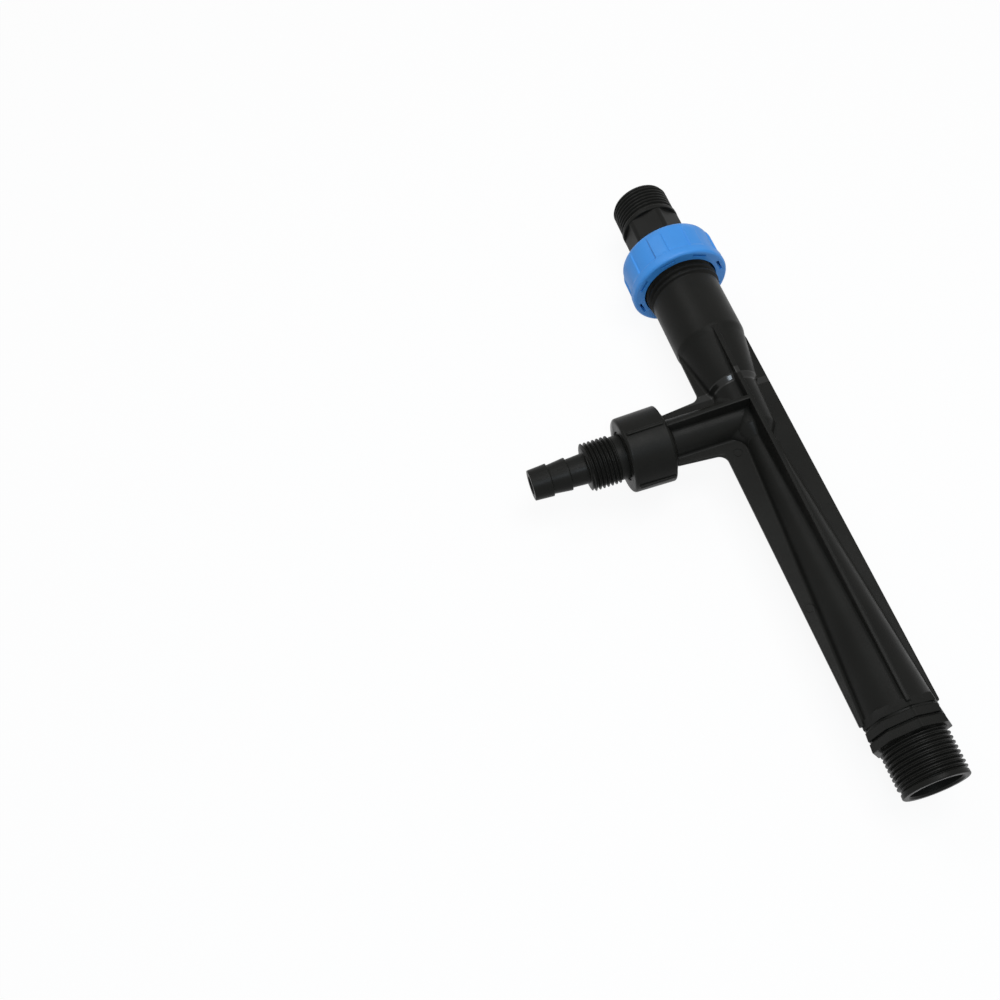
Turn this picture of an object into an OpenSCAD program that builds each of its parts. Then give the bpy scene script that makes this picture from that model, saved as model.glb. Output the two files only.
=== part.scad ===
// Venturi fertilizer injector: a ribbed moulded body with a union at its inlet,
// a jet nozzle in its barrel and a suction branch with a hose barb.
// +X runs along the flow from the inlet to the outlet, +Z is up, and the suction
// branch points to -Y. The origin is the centre of the inlet's end face.

/* [Inlet adapter] */
// Outside diameter of the inlet thread
inlet_thread_d = 26.4; // [25.6:0.1:27.2]
// Length of the inlet thread
inlet_thread_len = 13.9; // [10:0.1:18]
// Diameter of the round lip behind the thread
inlet_lip_d = 27.2; // [26.8:0.1:27.8]
// Length of the round lip
inlet_lip_len = 2.2; // [1.2:0.1:4]
// Hex section, across flats
hex_af = 24.2; // [23.4:0.1:25.4]
// Length of the hex section
hex_len = 17.2; // [12:0.1:24]
// Turn of the hex flats from straight up, in degrees
hex_turn = 20; // [0:1:59]
// Length of the round neck inside the nut
inlet_neck_len = 3.6; // [3:0.1:8]
// Diameter of the flange that the nut presses on
flange_d = 30.4; // [29.6:0.1:31.4]
// Thickness of the flange
flange_t = 3.4; // [2.8:0.1:5]
// Bore of the inlet adapter
inlet_bore_d = 19; // [15:0.1:20]

/* [Union nut] */
// Length of the nut
nut_len = 20.3; // [17:0.1:26]
// Thickness of the nut's front wall
nut_wall = 3.6; // [2.4:0.1:3.8]
// Radius of the nut's front edge
nut_edge_r = 3; // [1:0.1:3.2]
// Diameter over the panels between the lugs
nut_panel_d = 42.4; // [41.6:0.1:43]
// Diameter over the grip lugs
nut_lug_d = 43.8; // [43.4:0.1:44.6]
// Diameter of the rim
nut_rim_d = 45; // [44.8:0.1:48]
// Length of the rim
nut_rim_len = 4.4; // [3:0.1:6]
// Number of grip lugs
nut_lugs = 8; // [6:1:10]
// Width of each lug, in degrees
nut_lug_deg = 18; // [14:1:24]
// Turn of the first lug from straight up, in degrees
nut_lug_turn = 21; // [0:1:44]
// Depth of the recess behind each lug
nut_recess_depth = 9; // [4:0.1:11]
// Width of each recess, in degrees
nut_recess_deg = 18; // [8:1:22]
// Wall between a recess and the thread
nut_recess_in = 2; // [1:0.1:2.2]
// Wall between a recess and the panels
nut_recess_out = 1.1; // [0.8:0.1:1.3]

/* [Body along the flow] */
// Outside diameter of the union thread
union_thread_d = 33.2; // [32.6:0.1:33.8]
// Length of the union thread
union_thread_len = 17.4; // [14:0.1:22]
// Outside diameter of the barrel
barrel_d = 31.4; // [30.6:0.1:32.2]
// Length of the barrel
barrel_len = 31.2; // [24:0.1:40]
// Bore of the barrel
barrel_bore_d = 25.2; // [24.4:0.1:25.8]
// Length of the round shoulder at the barrel's end
shoulder_len = 3.5; // [2:0.1:5]
// Drop in radius over the shoulder
shoulder_drop = 0.8; // [0.4:0.05:1.2]
// Length of the contraction cone
contraction_len = 24.5; // [18:0.1:32]
// Outside diameter at the start of the mixing chamber
chamber_d = 20.4; // [19.2:0.1:22]
// Outside diameter at the end of the mixing chamber
chamber_end_d = 18.4; // [16.8:0.1:19]
// Height of the step between the contraction and the chamber
chamber_step = 1.1; // [0.5:0.05:1.6]
// Length of that step
chamber_step_len = 3.5; // [2:0.1:5]
// Length of the mixing chamber
chamber_len = 19.5; // [19:0.1:26]
// Bore of the mixing chamber
chamber_bore_d = 13.2; // [11.5:0.1:13.6]
// Length of the step down to the throat
throat_step_len = 8; // [6:0.1:12]
// Outside diameter at the throat
throat_d = 12.3; // [11.6:0.1:14]
// Bore of the throat
throat_bore_d = 6.8; // [5:0.1:7.6]
// Length of the straight throat bore
throat_len = 6; // [3:0.1:10]
// Length of the diffuser
diffuser_len = 121.8; // [100:0.1:150]
// Outside diameter at the end of the diffuser
diffuser_end_d = 27.4; // [26.2:0.1:28.2]
// Bore of the outlet
outlet_bore_d = 20; // [17:0.1:20.8]
// Thickness of the ribs
rib_t = 1.9; // [1.4:0.1:2.6]
// How far the ribs stand proud of the barrel
rib_proud = 0.15; // [0.1:0.05:0.6]

/* [Outlet] */
// Corner diameters of the three octagonal collars
collar_d = [30.2, 30.7, 31.5];
// Length of each collar
collar_len = 3.5; // [2.6:0.1:4.6]
// Width of the groove after each collar
collar_groove = 0.8; // [0.5:0.1:1.2]
// Diameter at the bottom of the collar grooves
collar_core_d = 27; // [26.6:0.1:27.6]
// Outside diameter of the outlet thread
outlet_thread_d = 26.4; // [25.6:0.1:26.5]
// Length of the outlet thread
outlet_thread_len = 14.3; // [11:0.1:18]
// Diameter of the plain lip at the outlet
outlet_lip_d = 25.9; // [24:0.1:26.2]
// Length of the plain lip
outlet_lip_len = 3.2; // [2:0.1:5]
// Chamfer at the outlet's mouth
outlet_chamfer = 0.8; // [0.4:0.1:1.2]

/* [Suction branch] */
// Distance of the branch axis from the start of the mixing chamber
branch_offset = 12.3; // [11.5:0.1:15]
// Outside diameter of the branch tube
branch_d = 18.2; // [17.4:0.1:20]
// Bore of the branch
branch_bore_d = 7.6; // [6:0.1:8.6]
// How much the branch webs narrow for each millimetre along the branch
branch_rib_slope = 0.096; // [0.06:0.002:0.12]
// How much the ribs above and below the branch drop for each millimetre
branch_fin_slope = 0.035; // [0.02:0.005:0.06]
// Corner radius between the branch webs and the long ribs
web_corner_r = 4; // [2:0.1:6]
// Distance from the main axis to the boss's back
boss_back = 36.8; // [35:0.1:42]
// Diameter of the boss's back face
boss_back_d = 27.6; // [26:0.1:29]
// Length of the cone behind the boss
boss_cone_len = 1.8; // [1.6:0.1:4]
// Length of the step up to the boss's full diameter
boss_step_len = 1.5; // [0.8:0.1:2.5]
// Outside diameter of the boss at its front
boss_d = 32.4; // [31:0.1:33]
// Outside diameter of the boss at its back
boss_root_d = 33.2; // [33:0.1:34]
// Length of the boss from its back to its front face
boss_len = 19.3; // [17:0.1:24]
// Chamfer of the boss's front edge
boss_chamfer = 1; // [0.4:0.1:1.6]
// Diameter over the small ribs on the boss
boss_rib_d = 34.6; // [34.3:0.1:36]
// Width of the small ribs on the boss
boss_rib_w = 1.4; // [1:0.1:2]
// Distance of the small ribs from the boss's front face
boss_rib_inset = 1.7; // [1.6:0.1:3]
// Diameter of the socket for the suction adapter
socket_d = 20; // [19.4:0.1:20.6]
// Thickness of the boss's floor under the socket
socket_floor = 3.2; // [2:0.1:4]
// Diameter of the open mouth of the socket
mouth_d = 21.4; // [20.8:0.1:22.4]
// Depth of the open mouth
mouth_depth = 0.8; // [0.6:0.1:2.4]
// Depth of the spring's well below the socket
spring_well_depth = 8; // [7:0.1:9]

/* [Suction adapter] */
// Diameter of the smooth neck
suction_neck_d = 19.1; // [18:0.1:19.3]
// Length of the neck outside the boss
suction_neck_len = 4.1; // [3:0.1:8]
// Outside diameter of the suction thread
suction_thread_d = 20.9; // [20.2:0.1:21.6]
// Length of the suction thread
suction_thread_len = 12.6; // [8:0.1:15]
// Diameter of the stem where it leaves the thread
barb_root_d = 13.3; // [12.6:0.1:14]
// Diameter of the stem at the barb
barb_stem_d = 12.2; // [11:0.1:12.6]
// Diameter over the barb's two steps
barb_d = 14.3; // [13.6:0.1:15]
// Diameter of the barb's tip
barb_tip_d = 13.1; // [12:0.1:13.5]
// Length of each barb step
barb_step_len = 8.2; // [6:0.1:10]
// Length of plain stem between the thread and the barb
barb_stem_len = 7.6; // [5:0.1:12]
// Bore of the barb
barb_bore_d = 8; // [6:0.1:9]
// Bore of the valve seat
seat_bore_d = 6; // [5:0.1:6.2]
// Length of the seat's straight bore
seat_len = 2; // [1:0.1:4]
// Half angle of the valve seat, in degrees
seat_angle = 45; // [42:1:48]
// Land between the O-ring groove and the socket's mouth
suction_ring_inset = 1; // [0.6:0.1:2]

/* [Check valve] */
// Diameter of the ball
ball_d = 9; // [8.7:0.05:9.2]
// Travel of the ball from its seat
ball_travel = 3; // [1.5:0.1:4]
// Diameter of the ball's chamber
ball_chamber_d = 10; // [9.8:0.1:10.8]
// Depth of the ball's chamber in the adapter
ball_chamber_len = 7.6; // [6.5:0.1:9]
// Wire diameter of the spring
spring_wire_d = 0.7; // [0.5:0.05:0.9]
// Mean diameter of the spring's coils
spring_coil_d = 6.4; // [5.6:0.1:7.2]
// Number of turns of the spring
spring_turns = 5; // [4:1:7]

/* [Jet nozzle] */
// Thickness of the nozzle's flange
nozzle_flange_t = 2.4; // [1.8:0.1:3.4]
// Length of the nozzle's straight spigot
nozzle_spigot_len = 17; // [10:0.1:26]
// Diameter of the nozzle's slim stem
nozzle_stem_d = 10; // [8.6:0.1:10.4]
// Diameter of the nozzle's tip
nozzle_tip_d = 8.8; // [7.6:0.1:9.4]
// Bore of the nozzle's tip
nozzle_jet_d = 5; // [4:0.1:6]
// Distance of the tip before the branch axis
nozzle_tip_gap = 3; // [1:0.1:8]

/* [Seals] */
// Section of the O-rings at the union
union_ring_w = 1.5; // [1.2:0.1:1.7]
// Section of the suction adapter's O-ring
suction_ring_w = 1.7; // [1.3:0.1:1.8]

/* [Clearances] */
// Gap between faces that the union presses together
face_gap = 0.2; // [0.1:0.05:0.4]
// Radial gap between the nut and what it turns on
nut_gap = 0.35; // [0.3:0.05:0.5]
// Radial gap between a fixed insert and its bore
insert_gap = 0.1; // [0.05:0.05:0.25]
// Gap between a ring and the groove it lies in
ring_gap = 0.05; // [0.02:0.01:0.1]

/* [Hidden] */
$fn = 96;
// Small overlap that fuses shapes of one moulding
fuse = 0.5;
black_plastic = [0.06, 0.06, 0.065];
nut_blue = [0.13, 0.42, 0.80];
rubber = [0.03, 0.03, 0.03];
steel = [0.72, 0.73, 0.75];
ball_white = [0.88, 0.88, 0.85];

// Stations along the flow
lip_x = inlet_thread_len;
hex_x = lip_x + inlet_lip_len;
neck_x = hex_x + hex_len;
flange_x = neck_x + inlet_neck_len;
seat_x = flange_x + flange_t;
nozzle_x = seat_x + face_gap;
body_x = nozzle_x + nozzle_flange_t;
nut_x = flange_x - face_gap - nut_wall;
nut_end = nut_x + nut_len;
rim_x = nut_end - nut_rim_len;
barrel_x = body_x + union_thread_len;
contraction_x = barrel_x + barrel_len;
chamber_x = contraction_x + contraction_len;
chamber_end = chamber_x + chamber_len;
throat_x = chamber_end + throat_step_len;
diffuser_end = throat_x + diffuser_len;
collar_pitch = collar_len + collar_groove;
collars_end = diffuser_end + len(collar_d) * collar_pitch;
thread_end = collars_end + outlet_thread_len;
outlet_x = thread_end + outlet_lip_len;
branch_x = chamber_x + branch_offset;

// Radii that follow from the sizes above
barrel_r = barrel_d / 2;
rib_reach = barrel_r + rib_proud;
neck_r = inlet_lip_d / 2;
nut_bore_r = union_thread_d / 2 + nut_gap;
spigot_r = barrel_bore_d / 2 - insert_gap;
rib_x = contraction_x - shoulder_len;
rib_end = diffuser_end + collar_len / 2;

// Distances along the branch from the main axis
boss_front = boss_back + boss_len;
socket_end = boss_back + socket_floor;
mouth_end = boss_front - mouth_depth;
suction_thread_start = boss_front + suction_neck_len;
suction_thread_end = suction_thread_start + suction_thread_len;
barb_start = suction_thread_end + barb_stem_len;
barb_tip = barb_start + 2 * barb_step_len;
adapter_in = socket_end + face_gap;
seat_start = adapter_in + ball_chamber_len;
seat_end = seat_start + (ball_chamber_d - seat_bore_d) / 2 / tan(seat_angle);
ball_s = seat_start + ball_chamber_d / 2 / tan(seat_angle) - ball_d / 2 / sin(seat_angle) - face_gap;
spring_well = socket_end - spring_well_depth;
spring_reach = (ball_d + spring_wire_d) / 2 + face_gap;
spring_top = ball_s - sqrt(pow(spring_reach, 2) - pow(spring_coil_d / 2, 2));
spring_foot = spring_well + spring_wire_d / 2 + ring_gap;

// Half width of the branch webs at a distance from the main axis
function branch_half(s) = rib_reach - branch_rib_slope * s;
// Reach of the ribs above and below the branch
function fin_half(s) = rib_reach - branch_fin_slope * s;

// Points of an arc from angle a to angle b
function arc(centre, r, a, b, n = 8) =
    [for (i = [0 : n]) let (t = a + (b - a) * i / n) centre + r * [cos(t), sin(t)]];

// Points of the round that joins two straight edges leaving a corner along u and v
function corner_round(corner, u, v, r) =
    let (half = acos(u * v) / 2, mid = (u + v) / norm(u + v), centre = corner + mid * r / sin(half))
    let (p = corner + u * r / tan(half) - centre, q = corner + v * r / tan(half) - centre)
    let (a = atan2(p[1], p[0]), turn = atan2(p[0] * q[1] - p[1] * q[0], p * q))
    arc(centre, r, a, a + turn);

// Solid turned about the flow axis, from points [radius, station]
module turned(points) {
    rotate([0, 90, 0]) rotate_extrude() polygon(points);
}

// Solid turned about the branch axis, from points [radius, distance from the main axis]
module branch_turned(points) {
    translate([branch_x, 0, 0]) rotate([90, 0, 0]) rotate_extrude() polygon(points);
}

// Ring of round section about the flow axis
module ring(mid_r, section_d, x) {
    translate([x, 0, 0]) rotate([0, 90, 0]) rotate_extrude()
        translate([mid_r, 0]) circle(d = section_d, $fn = 48);
}

// Outside of the barrel, contraction, mixing chamber and diffuser
module flow_outside() {
    turned(concat(
        [[0, body_x], [union_thread_d / 2, body_x], [union_thread_d / 2, barrel_x], [barrel_r, barrel_x]],
        [[barrel_r, rib_x], [barrel_r - shoulder_drop, contraction_x]],
        [[chamber_d / 2 + chamber_step, chamber_x - chamber_step_len], [chamber_d / 2, chamber_x]],
        [[chamber_end_d / 2, chamber_end], [throat_d / 2, throat_x]],
        [[diffuser_end_d / 2, diffuser_end], [collar_core_d / 2, diffuser_end]],
        [[collar_core_d / 2, collars_end]],
        [[outlet_thread_d / 2, collars_end], [outlet_thread_d / 2, thread_end]],
        [[outlet_lip_d / 2, thread_end], [outlet_lip_d / 2, outlet_x], [0, outlet_x]]));
}

// Passage through the barrel, mixing chamber, throat and diffuser
module flow_passage() {
    turned([[0, body_x - fuse], [barrel_bore_d / 2, body_x - fuse], [barrel_bore_d / 2, contraction_x],
        [chamber_bore_d / 2, chamber_x], [chamber_bore_d / 2, chamber_end], [throat_bore_d / 2, throat_x],
        [throat_bore_d / 2, throat_x + throat_len], [outlet_bore_d / 2, collars_end],
        [outlet_bore_d / 2, outlet_x - outlet_chamfer],
        [outlet_bore_d / 2 + outlet_chamfer + fuse, outlet_x + fuse], [0, outlet_x + fuse]]);
}

// One long rib, lying in the XY plane on the +Y side
module long_rib() {
    linear_extrude(rib_t, center = true)
        polygon([[rib_x, 0], [rib_x, rib_reach], [rib_end, rib_reach], [rib_end, 0]]);
}

// Web on the branch side: the long rib joined to the branch ribs with round corners
module branch_web() {
    far = boss_back - boss_cone_len / 2;
    lean = [branch_rib_slope, 1] / norm([branch_rib_slope, 1]);
    root = branch_half(rib_reach);
    up = corner_round([branch_x - root, rib_reach], [-1, 0], [lean[0], lean[1]], web_corner_r);
    down = corner_round([branch_x + root, rib_reach], [-lean[0], lean[1]], [1, 0], web_corner_r);
    mirror([0, 1, 0]) linear_extrude(rib_t, center = true)
        polygon(concat([[rib_x, 0], [rib_x, rib_reach]], up,
            [[branch_x - branch_half(far), far], [branch_x + branch_half(far), far]], down,
            [[rib_end, rib_reach], [rib_end, 0]]));
}

// Rib above and below the branch tube
module branch_rib() {
    far = boss_back + boss_step_len / 4;
    translate([branch_x, 0, 0]) rotate([90, 0, -90]) linear_extrude(rib_t, center = true)
        polygon([[0, -fin_half(0)], [0, fin_half(0)], [far, fin_half(far)], [far, -fin_half(far)]]);
}

// Octagonal collars, with a corner on each rib
module collars() {
    for (i = [0 : len(collar_d) - 1])
        translate([diffuser_end + i * collar_pitch, 0, 0]) rotate([0, 90, 0])
            cylinder(d = collar_d[i], h = collar_len, $fn = 8);
}

// Boss at the end of the branch, with four small ribs
module boss() {
    branch_turned([[0, 0], [branch_d / 2, 0], [branch_d / 2, boss_back - boss_cone_len],
        [boss_back_d / 2, boss_back],
        [boss_back_d / 2, boss_back + boss_step_len / 2], [boss_root_d / 2, boss_back + boss_step_len],
        [boss_d / 2, boss_front - boss_chamfer], [boss_d / 2 - boss_chamfer, boss_front], [0, boss_front]]);
    rib_from = boss_back + boss_step_len;
    rib_len = boss_front - boss_rib_inset - rib_from;
    translate([branch_x, -rib_from - rib_len / 2, 0]) for (turn = [0, 90])
        rotate([0, turn, 0]) cube([boss_rib_w, rib_len, boss_rib_d], center = true);
}

// Suction passage: well for the spring, socket for the adapter and its open mouth
module suction_passage() {
    branch_turned([[0, 0], [branch_bore_d / 2, 0], [branch_bore_d / 2, spring_well],
        [ball_chamber_d / 2, spring_well], [ball_chamber_d / 2, socket_end], [socket_d / 2, socket_end],
        [socket_d / 2, mouth_end], [mouth_d / 2, mouth_end],
        [mouth_d / 2, boss_front + fuse], [0, boss_front + fuse]]);
}

module body() {
    color(black_plastic) difference() {
        union() {
            flow_outside();
            long_rib();
            rotate([90, 0, 0]) long_rib();
            rotate([-90, 0, 0]) long_rib();
            branch_web();
            branch_rib();
            collars();
            boss();
        }
        flow_passage();
        suction_passage();
    }
}

module jet_nozzle() {
    stem_x = chamber_x;
    tip_x = branch_x - nozzle_tip_gap;
    spigot_end = body_x + nozzle_spigot_len;
    groove_x = body_x + nozzle_spigot_len / 2;
    groove_w = union_ring_w + 2 * ring_gap;
    color(black_plastic) turned([[inlet_bore_d / 2, nozzle_x], [flange_d / 2, nozzle_x],
        [flange_d / 2, body_x], [spigot_r, body_x], [spigot_r, groove_x - groove_w / 2],
        [spigot_r - union_ring_w, groove_x - groove_w / 2],
        [spigot_r - union_ring_w, groove_x + groove_w / 2], [spigot_r, groove_x + groove_w / 2],
        [spigot_r, spigot_end], [nozzle_stem_d / 2, stem_x], [nozzle_tip_d / 2, tip_x],
        [nozzle_jet_d / 2, tip_x], [nozzle_jet_d / 2, stem_x], [inlet_bore_d / 2, spigot_end]]);
}

module nozzle_o_ring() {
    color(rubber) ring(spigot_r - union_ring_w / 2 + ring_gap, union_ring_w, body_x + nozzle_spigot_len / 2);
}

// Radius of the middle of the flange's face groove
function flange_groove_r() = (inlet_bore_d + flange_d) / 4;

module inlet_adapter() {
    groove_in = flange_groove_r() - union_ring_w / 2 - ring_gap;
    groove_out = flange_groove_r() + union_ring_w / 2 + ring_gap;
    groove_x = seat_x - union_ring_w - ring_gap;
    color(black_plastic) difference() {
        union() {
            turned([[0, 0], [inlet_thread_d / 2, 0], [inlet_thread_d / 2, lip_x], [inlet_lip_d / 2, lip_x],
                [inlet_lip_d / 2, hex_x], [neck_r, hex_x], [neck_r, flange_x], [flange_d / 2, flange_x],
                [flange_d / 2, seat_x], [0, seat_x]]);
            intersection() {
                translate([hex_x - fuse, 0, 0]) rotate([0, 90, 0])
                    cylinder(d = inlet_lip_d, h = hex_len + fuse);
                translate([hex_x - fuse, 0, 0]) rotate([hex_turn, 0, 0]) rotate([0, 90, 0]) rotate([0, 0, 30])
                    cylinder(r = hex_af / 2 / cos(30), h = hex_len + fuse, $fn = 6);
            }
        }
        turned([[0, -fuse], [inlet_bore_d / 2, -fuse], [inlet_bore_d / 2, seat_x + fuse],
            [0, seat_x + fuse]]);
        turned([[groove_in, groove_x], [groove_out, groove_x], [groove_out, seat_x + fuse],
            [groove_in, seat_x + fuse]]);
    }
}

module flange_o_ring() {
    color(rubber) ring(flange_groove_r(), union_ring_w, seat_x - union_ring_w / 2);
}

module union_nut() {
    edge = nut_edge_r;
    lug_w = nut_lug_d * sin(nut_lug_deg / 2);
    recess_w = nut_lug_d * sin(nut_recess_deg / 2);
    recess_r = nut_bore_r + nut_recess_in;
    recess_h = nut_panel_d / 2 - nut_recess_out - recess_r;
    color(nut_blue) difference() {
        union() {
            turned(concat([[0, nut_x], [nut_panel_d / 2 - edge, nut_x]],
                [for (t = [15 : 15 : 90])
                    [nut_panel_d / 2 - edge + edge * sin(t), nut_x + edge - edge * cos(t)]],
                [[nut_panel_d / 2, rim_x], [nut_rim_d / 2, rim_x], [nut_rim_d / 2, nut_end], [0, nut_end]]));
            intersection() {
                turned([[0, nut_x + edge], [nut_panel_d / 2, nut_x + edge], [nut_lug_d / 2, nut_x + 2 * edge],
                    [nut_lug_d / 2, nut_end], [0, nut_end]]);
                for (i = [0 : nut_lugs - 1]) rotate([nut_lug_turn + i * 360 / nut_lugs, 0, 0])
                    translate([nut_x, -lug_w / 2, nut_bore_r])
                        cube([rim_x + fuse - nut_x, lug_w, nut_lug_d / 2]);
            }
        }
        turned([[0, nut_x - fuse], [neck_r + nut_gap, nut_x - fuse], [neck_r + nut_gap, nut_x + nut_wall],
            [nut_bore_r, nut_x + nut_wall], [nut_bore_r, nut_end + fuse], [0, nut_end + fuse]]);
        for (i = [0 : nut_lugs - 1]) rotate([nut_lug_turn + i * 360 / nut_lugs, 0, 0])
            translate([nut_end - nut_recess_depth, -recess_w / 2, recess_r])
                cube([nut_recess_depth + fuse, recess_w, recess_h]);
    }
}

module suction_adapter() {
    plug_r = socket_d / 2 - insert_gap;
    groove_w = suction_ring_w + 2 * ring_gap;
    groove_s = mouth_end - suction_ring_inset - groove_w;
    bore_s = seat_end + seat_len;
    color(black_plastic) branch_turned([[ball_chamber_d / 2, adapter_in], [plug_r, adapter_in],
        [plug_r, groove_s], [plug_r - suction_ring_w, groove_s],
        [plug_r - suction_ring_w, groove_s + groove_w],
        [plug_r, groove_s + groove_w], [plug_r, mouth_end], [suction_neck_d / 2, mouth_end],
        [suction_neck_d / 2, suction_thread_start], [suction_thread_d / 2, suction_thread_start],
        [suction_thread_d / 2, suction_thread_end], [barb_root_d / 2, suction_thread_end],
        [barb_stem_d / 2, barb_start], [barb_d / 2, barb_start],
        [barb_stem_d / 2, barb_start + barb_step_len],
        [barb_d / 2, barb_start + barb_step_len], [barb_tip_d / 2, barb_tip], [barb_bore_d / 2, barb_tip],
        [barb_bore_d / 2, bore_s], [seat_bore_d / 2, bore_s], [seat_bore_d / 2, seat_end],
        [ball_chamber_d / 2, seat_start]]);
}

module suction_o_ring() {
    plug_r = socket_d / 2 - insert_gap;
    s = mouth_end - suction_ring_inset - ring_gap - suction_ring_w / 2;
    color(rubber) translate([branch_x, -s, 0]) rotate([90, 0, 0])
        rotate_extrude() translate([plug_r - suction_ring_w / 2 + ring_gap, 0])
            circle(d = suction_ring_w, $fn = 48);
}

module check_ball() {
    color(ball_white) translate([branch_x, -ball_s, 0]) sphere(d = ball_d);
}

// Spring wire swept along a helix about the branch axis
module check_spring() {
    sides = 8;
    per_turn = 18;
    count = spring_turns * per_turn;
    rise = spring_top - spring_foot;
    rings = [for (i = [0 : count]) let (a = 360 * i / per_turn, s = spring_foot + rise * i / count)
        [for (k = [0 : sides - 1]) let (b = 360 * k / sides, r = (spring_coil_d + spring_wire_d * cos(b)) / 2)
            [branch_x + r * cos(a), -s + spring_wire_d / 2 * sin(b), r * sin(a)]]];
    points = [for (one = rings) each one];
    walls = [for (i = [0 : count - 1]) for (k = [0 : sides - 1])
        let (a = i * sides + k, b = i * sides + (k + 1) % sides)
        each [[a, b, b + sides], [a, b + sides, a + sides]]];
    ends = [[for (k = [sides - 1 : -1 : 0]) k], [for (k = [0 : sides - 1]) count * sides + k]];
    color(steel) polyhedron(points, concat(walls, ends));
}

body();
jet_nozzle();
nozzle_o_ring();
inlet_adapter();
flange_o_ring();
union_nut();
suction_adapter();
suction_o_ring();
check_ball();
check_spring();
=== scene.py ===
"""Looks of the venturi injector: moulded forms with fillets, cut threads, plastics, light and camera."""

import math
from collections import namedtuple

import bmesh
import bpy
import numpy as np
from mathutils import Matrix, Vector


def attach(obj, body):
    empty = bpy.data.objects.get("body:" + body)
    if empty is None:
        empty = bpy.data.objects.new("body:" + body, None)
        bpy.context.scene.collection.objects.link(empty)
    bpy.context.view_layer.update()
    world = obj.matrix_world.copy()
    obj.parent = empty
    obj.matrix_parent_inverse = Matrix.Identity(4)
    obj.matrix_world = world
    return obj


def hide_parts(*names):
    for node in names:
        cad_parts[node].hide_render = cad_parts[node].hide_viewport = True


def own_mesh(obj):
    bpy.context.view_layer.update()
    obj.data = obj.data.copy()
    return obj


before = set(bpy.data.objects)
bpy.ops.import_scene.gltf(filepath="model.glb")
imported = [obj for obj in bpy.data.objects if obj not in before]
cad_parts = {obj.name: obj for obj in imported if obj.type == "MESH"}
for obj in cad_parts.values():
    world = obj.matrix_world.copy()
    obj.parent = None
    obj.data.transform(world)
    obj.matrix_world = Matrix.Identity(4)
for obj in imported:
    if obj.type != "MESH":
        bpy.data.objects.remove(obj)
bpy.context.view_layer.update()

MM = 0.001
FULL_TURN = 2 * math.pi

# Stations on the flow axis, in millimetres from the inlet's end face
BODY_X = 42.9
BARREL_X = 60.3
SHOULDER_X = 88.3
CONTRACTION_X = 91.5
STEP_X = 112.9
STEP_END = 114.8
CHAMBER_X = 116.0
CHAMBER_END = 135.5
WAIST_X = 141.2
THROAT_X = 143.5
THROAT_END = 149.5
DIFFUSER_END = 265.3
COLLARS_END = 278.2
THREAD_END = 292.5
OUTLET_X = 295.7

# Body, in millimetres
UNION_R = 16.6
UNION_CHAMFER = 1.6
BARREL_R = 15.7
BARREL_BORE_R = 12.6
CHAMBER_BORE_R = 6.6
THROAT_R = 3.4
OUTLET_BORE_R = 10.0
COLLAR_R = (15.1, 15.35, 15.75)
COLLAR_LEN = 3.5
COLLAR_GROOVE = 0.8
COLLAR_CORE_R = 13.5
GROOVE_R = COLLAR_CORE_R + 0.3
UNDER_COLLAR_R = COLLAR_CORE_R + 0.4
TUBE_END = DIFFUSER_END + 6
PIPE_THREAD_R = 13.2
PIPE_PITCH = 1.814

# Ribs along the body and the branch, in millimetres
RIB_REACH = 15.85
RIB_HALF = 0.95
RIB_TIP = 0.32
RIB_FILLET = 1.3
RIB_CHAMFER = 0.3
RIB_START = CONTRACTION_X - 3.5
RIB_END = DIFFUSER_END + COLLAR_LEN / 2
SEAM = 0.06

# Step along the axis where a section ends square, in millimetres
HAIR = 0.02

# Branch and boss: distances from the flow axis, radii and slopes, in millimetres
BRANCH_X = 128.3
BRANCH_R = 9.1
BRANCH_END = 34.5
BRANCH_ROWS = 14
BRANCH_FILLET = 1.1
FLARE_FILLET = 0.6
BRANCH_BORE_R = 3.8
WEB_SLOPE = 0.096
FIN_SLOPE = 0.035
WEB_CORNER = 4.0
BOSS_BACK = 36.8
BOSS_FRONT = 56.1
BOSS_R = 16.2
BOSS_ROOT_R = 16.6
BOSS_RIB_R = 17.3
SPRING_WELL = 32.0
SPRING_WELL_R = 5.0
SOCKET_END = 40.0
SOCKET_R = 10.0

# Marks of the ejector pins on the web: places along and across the flow, and the ring's form, in millimetres
EJECTOR_MARKS = ((144.3, -11.0), (218.2, -13.1))
MARK_OUTER_R = 2.1
MARK_INNER_R = 1.5
MARK_DRAFT = 0.1
MARK_DEPTH = 0.2
MARK_ABOVE = 0.3


# Mesh helpers

# Most of a side that the rounding of one corner may take
CORNER_SHARE = 0.48
# Edges that turn by more than this stay crisp
SHARP_EDGE = math.radians(32)
NORMAL_WEIGHT = 70


def scene_object(name, data):
    """New object with this data, linked to the scene."""
    obj = bpy.data.objects.new(name, data)
    bpy.context.scene.collection.objects.link(obj)
    return obj


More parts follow.
